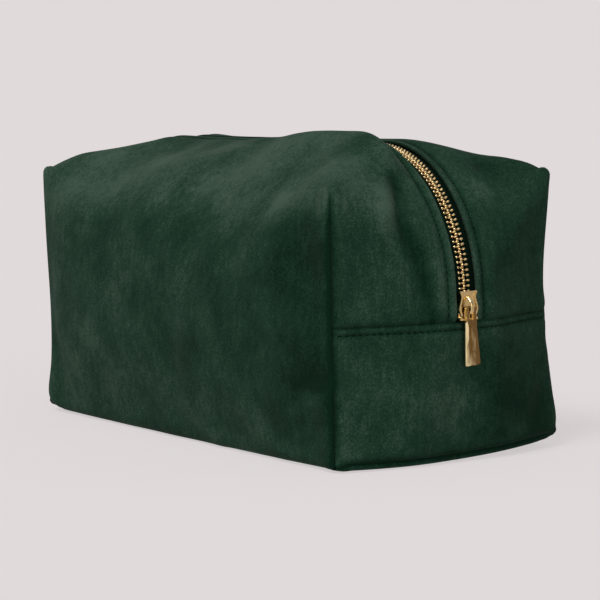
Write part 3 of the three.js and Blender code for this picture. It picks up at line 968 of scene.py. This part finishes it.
def smooth_route(points, steps):
    """A Catmull-Rom curve through points, open at both ends."""
    points = np.asarray(points, float)
    padded = np.concatenate([points[:1], points, points[-1:]])
    curve = []
    for a, b, c, d in zip(padded, padded[1:], padded[2:], padded[3:]):
        for t in np.arange(steps) / steps:
            bend, twist = 2 * a - 5 * b + 4 * c - d, 3 * b - a - 3 * c + d
            curve.append(0.5 * (2 * b + (c - a) * t + bend * t**2 + twist * t**3))
    return np.array([*curve, points[-1]])


def mirrored(half):
    """A whole outline from the half of it at y >= 0, which starts and ends on the middle line."""
    return np.concatenate([half, half[-2:0:-1] * (-1, 1)])


def standing(outline, x_from, x_to):
    """A solid of an outline in YZ, from one x to another: points and faces."""
    area = np.cross(outline, np.roll(outline, -1, axis=0)).sum()
    outline = outline if area > 0 else outline[::-1]
    rings = [[(x, y, z) for y, z in outline] for x in (x_from, x_to)]
    return loft(rings)


def slab_between(low, high):
    (x0, y0, z0), (x1, y1, z1) = low, high
    return standing(np.array([(y0, z0), (y1, z0), (y1, z1), (y0, z1)]), x0, x1)


def solid(name, shape):
    mesh = bpy.data.meshes.new(name)
    points, faces = shape
    mesh.from_pydata([tuple(p) for p in points], [], [tuple(map(int, f)) for f in faces])
    made = bpy.data.objects.new(name, mesh)
    bpy.context.scene.collection.objects.link(made)
    return made


def finish_metal(name, base, cutters, joined, edge, material, place):
    """Cuts and joins solids, rounds their edges, and places the result, scaled to metres."""
    body = solid(name, base)
    others = [(solid("cutter", shape), "DIFFERENCE") for shape in cutters]
    others += [(solid("joined", shape), "UNION") for shape in joined]
    for other, operation in others:
        step = body.modifiers.new("boolean", "BOOLEAN")
        step.object, step.operation, step.solver = other, operation, "EXACT"
    rounding = body.modifiers.new("rounding", "BEVEL")
    rounding.width, rounding.segments, rounding.limit_method = edge, 3, "ANGLE"
    rounding.angle_limit = math.radians(34)
    rounding.use_clamp_overlap = True
    evaluated = body.evaluated_get(bpy.context.evaluated_depsgraph_get())
    mesh = bpy.data.meshes.new_from_object(evaluated)
    for other in [body, *(other for other, _ in others)]:
        bpy.data.objects.remove(other)
    mesh.transform(Matrix.Translation(Vector(place) * MM) @ Matrix.Scale(MM, 4))
    mesh.polygons.foreach_set("use_smooth", [True] * len(mesh.polygons))
    mesh.set_sharp_from_angle(angle=math.radians(42))
    mesh.materials.clear()
    mesh.materials.append(material)
    piece = bpy.data.objects.new(name, mesh)
    bpy.context.scene.collection.objects.link(piece)
    return piece


def build_slider_body():
    """Two wings joined by a post. The outer wing is dished, with a raised rim and turned-in flanges."""
    outline = mirrored(smooth_route(WING_OUTLINE, 4))
    dish = (standing(outline * DISH_SHARE, 2.95, RIM_TOP + 1),)
    flanges = [
        slab_between((0.55, start, -5.4), (WING[0] + 0.2, start + FLANGE_THICKNESS, 0.4))
        for start in (-3.7 - FLANGE_THICKNESS, 3.7)
    ]
    post = slab_between((-WING[0] - 0.2, -0.55, -5.6), (WING[0] + 0.2, 0.55, -2.8))
    inner = standing(outline, -WING[1], -WING[0])
    piece = finish_metal(
        "slider_wings",
        standing(outline, WING[0], RIM_TOP),
        dish,
        [*flanges, post, inner],
        0.16,
        SLIDER_GOLD,
        SLIDER_PLACE,
    )
    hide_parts("slider_body")
    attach(piece, "slider")


def build_bridge():
    """A rounded arch that rises from the mouth and runs down to the neck."""
    route = smooth_route(BRIDGE_ROUTE, 5)
    rings = []
    for n, (x, z) in enumerate(route):
        before, after = route[max(n - 1, 0)], route[min(n + 1, len(route) - 1)]
        along = (after - before) / np.linalg.norm(after - before)
        outward = np.array([along[1], -along[0]])
        foot = 1 + 0.45 * max(bump(n, 3), bump(n - len(route) + 1, 4))
        ring = []
        for angle in np.arange(12) * math.pi / 6:
            high = 0.5 * math.copysign(abs(math.cos(angle)) ** 0.7, math.cos(angle))
            wide = 0.85 * foot * math.copysign(abs(math.sin(angle)) ** 0.7, math.sin(angle))
            ring.append((x + outward[0] * high, wide, z + outward[1] * high))
        rings.append(ring)
    points, faces = loft(rings)
    piece = make_piece("slider_arch", points + SLIDER_PLACE, faces, SLIDER_GOLD, "slider_metal")
    subdivide(piece)
    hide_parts("slider_bridge")
    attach(piece, "slider")


def build_pull_tab():
    """A long bar with sloped long edges, an eye at the top, a tapering groove and a small dimple."""
    outline = mirrored(smooth_route(TAB_OUTLINE, 3))
    if np.cross(outline, np.roll(outline, -1, axis=0)).sum() < 0:
        outline = outline[::-1]
    half = TAB_THICKNESS / 2
    kept = np.where(outline[:, 0] < 0, TAB_SLOPES["left"], TAB_SLOPES["right"])
    kept = 1 - (1 - kept) * ease(-outline[:, 1], 4, 7.5)
    face = outline * np.stack([kept, np.full(len(kept), 0.985)], axis=1)
    levels = ((-half, outline), (half - TAB_SLOPES["depth"], outline), (half, face))
    bar = loft([[(x, y, z) for y, z in ring] for x, ring in levels])
    eye = slab_between((-half - 1, -EYE["half"], EYE["bottom"]), (half + 1, EYE["half"], EYE["top"]))
    cuts = [standing(np.array(cut), half - GROOVE_DEPTH, half + 1) for cut in (GROOVE, MARK)]
    turns = np.arange(20) * math.pi / 10
    ring = np.stack([np.cos(turns), np.sin(turns)], axis=1) * DIMPLE["radius"] + (0, DIMPLE["down"])
    dimple = standing(ring, half - DIMPLE["depth"], half + 1)
    pivot = SLIDER_PLACE + np.array([PIVOT[0], 0, PIVOT[1]])
    cutters = (eye, *cuts, dimple)
    piece = finish_metal("pull_tab_bar", bar, cutters, (), 0.2, TAB_GOLD, pivot)
    to_pivot = Matrix.Translation(Vector(pivot) * MM)
    lean = Matrix.Rotation(math.radians(TAB_LEAN), 4, "X")
    piece.data.transform(to_pivot @ lean @ to_pivot.inverted())
    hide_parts("pull_tab")
    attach(piece, "pull_tab")


def build_stops():
    """Small clamps: one on each tape below the slider, and one across both at the far end."""
    for node, body, grooved in (
        ("front_top_stop", "root", False),
        ("back_top_stop", "root", False),
        ("bottom_stop", "root", True),
    ):
        low, high = (np.array(corner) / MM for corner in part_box(node))
        middle = (low + high) / 2
        block = slab_between(low - middle, high - middle)
        grooves = [slab_between((-9, -0.25, -9), (-0.9, 0.25, 9))] if grooved else []
        piece = finish_metal(f"{node}_clamp", block, grooves, (), 0.45, ZIP_GOLD, middle)
        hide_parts(node)
        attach(piece, body)


# ---- Stitches -----------------------------------------------------------------------------
# Along one thread: the share of its length, its size, and how far it stands off the cloth.
STITCH_SECTIONS = ((0, 0.5, -0.25), (0.15, 0.9, 0.1), (0.5, 1, 0.2), (0.85, 0.9, 0.1), (1, 0.5, -0.25))


def stitch(start, end, normal, radius=0.2):
    """A short thread that dips into the cloth at both ends."""
    along = end - start
    across = np.cross(along, normal)
    across /= np.linalg.norm(across)
    rings = []
    for share, size, rise in STITCH_SECTIONS:
        centre = start + along * share + normal * rise
        rings.append([centre + (across * c + normal * n) * radius * size for c, n in OCTAGON])
    return loft(rings)


def build_stitches():
    pitch, gap = 2.8, 0.7
    for end in ("near", "far"):
        threads = []
        for y in np.arange(-HALF_WIDTH + 2.5, HALF_WIDTH - 4, pitch):
            start, normal = sample(end, y, STITCH_LINE_Z)
            stop, _ = sample(end, y + pitch - gap, STITCH_LINE_Z)
            threads.append(stitch(start, stop, normal))
        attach(make_piece(f"{end}_seam_stitches", *merge(threads), THREAD_GREEN, "velvet"), "root")
    for half, side in (("front", -1), ("back", 1)):
        threads = []
        y = side * ZIP_STITCH_Y
        route = [("near", y, z) for z in np.arange(END_SEAM_Z + 2, CORNER_HEIGHT, pitch * 0.85)]
        route += [("top", x, y) for x in np.arange(HALF_LENGTH, -HALF_LENGTH, -pitch)]
        route += [("far", y, z) for z in np.arange(CORNER_HEIGHT, END_SEAM_Z + 2, -pitch * 0.85)]
        places = [sample(*step) for step in route]
        for (here, normal), (there, _) in zip(places, places[1:]):
            if np.linalg.norm(there - here) > 1.2:
                threads.append(stitch(here, here + (there - here) * (1 - gap / pitch), normal))
        piece = make_piece(f"{half}_zip_stitches", *merge(threads), THREAD_GREEN, "velvet")
        bend_with_mouth(piece)


# ---- Stage --------------------------------------------------------------------------------
VIEW_ANGLES = (56.68, 5.55, -1.117)  # azimuth, elevation and roll, in degrees
VIEW_FROM = {"back": 1183.722, "right": 6.967, "above": -0.626}  # from the pouch's middle
LENS = 153.18


def add_camera():
    """The viewing angle: a long lens, from beyond the near end and a little above."""
    azimuth, elevation, roll = (math.radians(angle) for angle in VIEW_ANGLES)
    back = Vector(
        (
            math.sin(azimuth) * math.cos(elevation),
            -math.cos(azimuth) * math.cos(elevation),
            math.sin(elevation),
        )
    )
    level = Vector((math.cos(azimuth), math.sin(azimuth), 0))
    up = back.cross(level)
    right = level * math.cos(roll) + up * math.sin(roll)
    above = up * math.cos(roll) - level * math.sin(roll)
    data = bpy.data.cameras.new("camera")
    data.sensor_width = 36
    data.lens = LENS
    data.clip_start, data.clip_end = 0.01, 20
    camera = bpy.data.objects.new("camera", data)
    place = back * VIEW_FROM["back"] + right * VIEW_FROM["right"] + above * VIEW_FROM["above"]
    place += Vector((0, 0, CORNER_HEIGHT / 2))
    rotation = Matrix((right, above, back)).transposed()
    camera.matrix_world = Matrix.Translation(place * MM) @ rotation.to_4x4()
    bpy.context.scene.collection.objects.link(camera)
    bpy.context.scene.camera = camera


BACKDROP = srgb(224, 218, 218)
FLOOR_REACH = 60  # metres, past the horizon of any view
FLOOR = (0.664, 0.640, 0.640)  # the paleness at which the lit floor matches the backdrop
FLOOR_SHADED = 0.22  # the rest of the floor glows evenly, so that shadows on it are faint


def add_sun(name, towards, strength, spread_degrees):
    data = bpy.data.lights.new(name, "SUN")
    data.energy = strength
    data.angle = math.radians(spread_degrees)
    light = bpy.data.objects.new(name, data)
    light.rotation_euler = Vector(towards).to_track_quat("Z", "Y").to_euler()
    bpy.context.scene.collection.objects.link(light)


def add_backdrop():
    """A pale surround that dims overhead, so that curved metal has something to reflect."""
    world = bpy.data.worlds.new("world")
    bpy.context.scene.world = world
    world.use_nodes = True
    nodes, links = world.node_tree.nodes, world.node_tree.links
    direction = nodes.new("ShaderNodeTexCoord").outputs["Generated"]
    split = nodes.new("ShaderNodeSeparateXYZ")
    links.new(direction, split.inputs["Vector"])
    dim = tuple(c * 0.45 for c in BACKDROP[:3]) + (1,)
    overhead = tuple(c * 0.8 for c in BACKDROP[:3]) + (1,)
    stops = ((0.14, BACKDROP), (0.42, dim), (0.95, overhead))
    color = add_ramp(nodes, links, split.outputs["Z"], stops)
    links.new(color, nodes["Background"].inputs["Color"])


def add_stage():
    """A wide, pale floor, the surround and two soft suns."""
    mesh = bpy.data.meshes.new("floor")
    corners = [(x * FLOOR_REACH, y * FLOOR_REACH, 0) for x, y in ((-1, -1), (1, -1), (1, 1), (-1, 1))]
    mesh.from_pydata(corners, [], [(0, 1, 2, 3)])
    floor = bpy.data.objects.new("floor", mesh)
    material, _, _, shader = new_material("floor")
    shader.inputs["Base Color"].default_value = tuple(c * FLOOR_SHADED for c in FLOOR) + (1,)
    shader.inputs["Emission Color"].default_value = BACKDROP
    shader.inputs["Emission Strength"].default_value = 1 - FLOOR_SHADED
    shader.inputs["Roughness"].default_value = 1
    shader.inputs["Specular IOR Level"].default_value = 0
    mesh.materials.append(material)
    bpy.context.scene.collection.objects.link(floor)
    add_backdrop()
    add_sun("key", (0.22, -0.55, 0.80), 2.2, 24)
    add_sun("end_fill", (0.92, -0.10, 0.38), 0.55, 30)
    bpy.context.scene.view_settings.view_transform = "Standard"


add_camera()
build_velvet()
build_inner_layer("padding", (1.6, 4.4), PADDING_GREY)
build_inner_layer("lining", (4.7, 5.3), LINING_GREEN)
build_zip()
build_slider_body()
build_bridge()
build_pull_tab()
build_stops()
build_stitches()
add_stage()
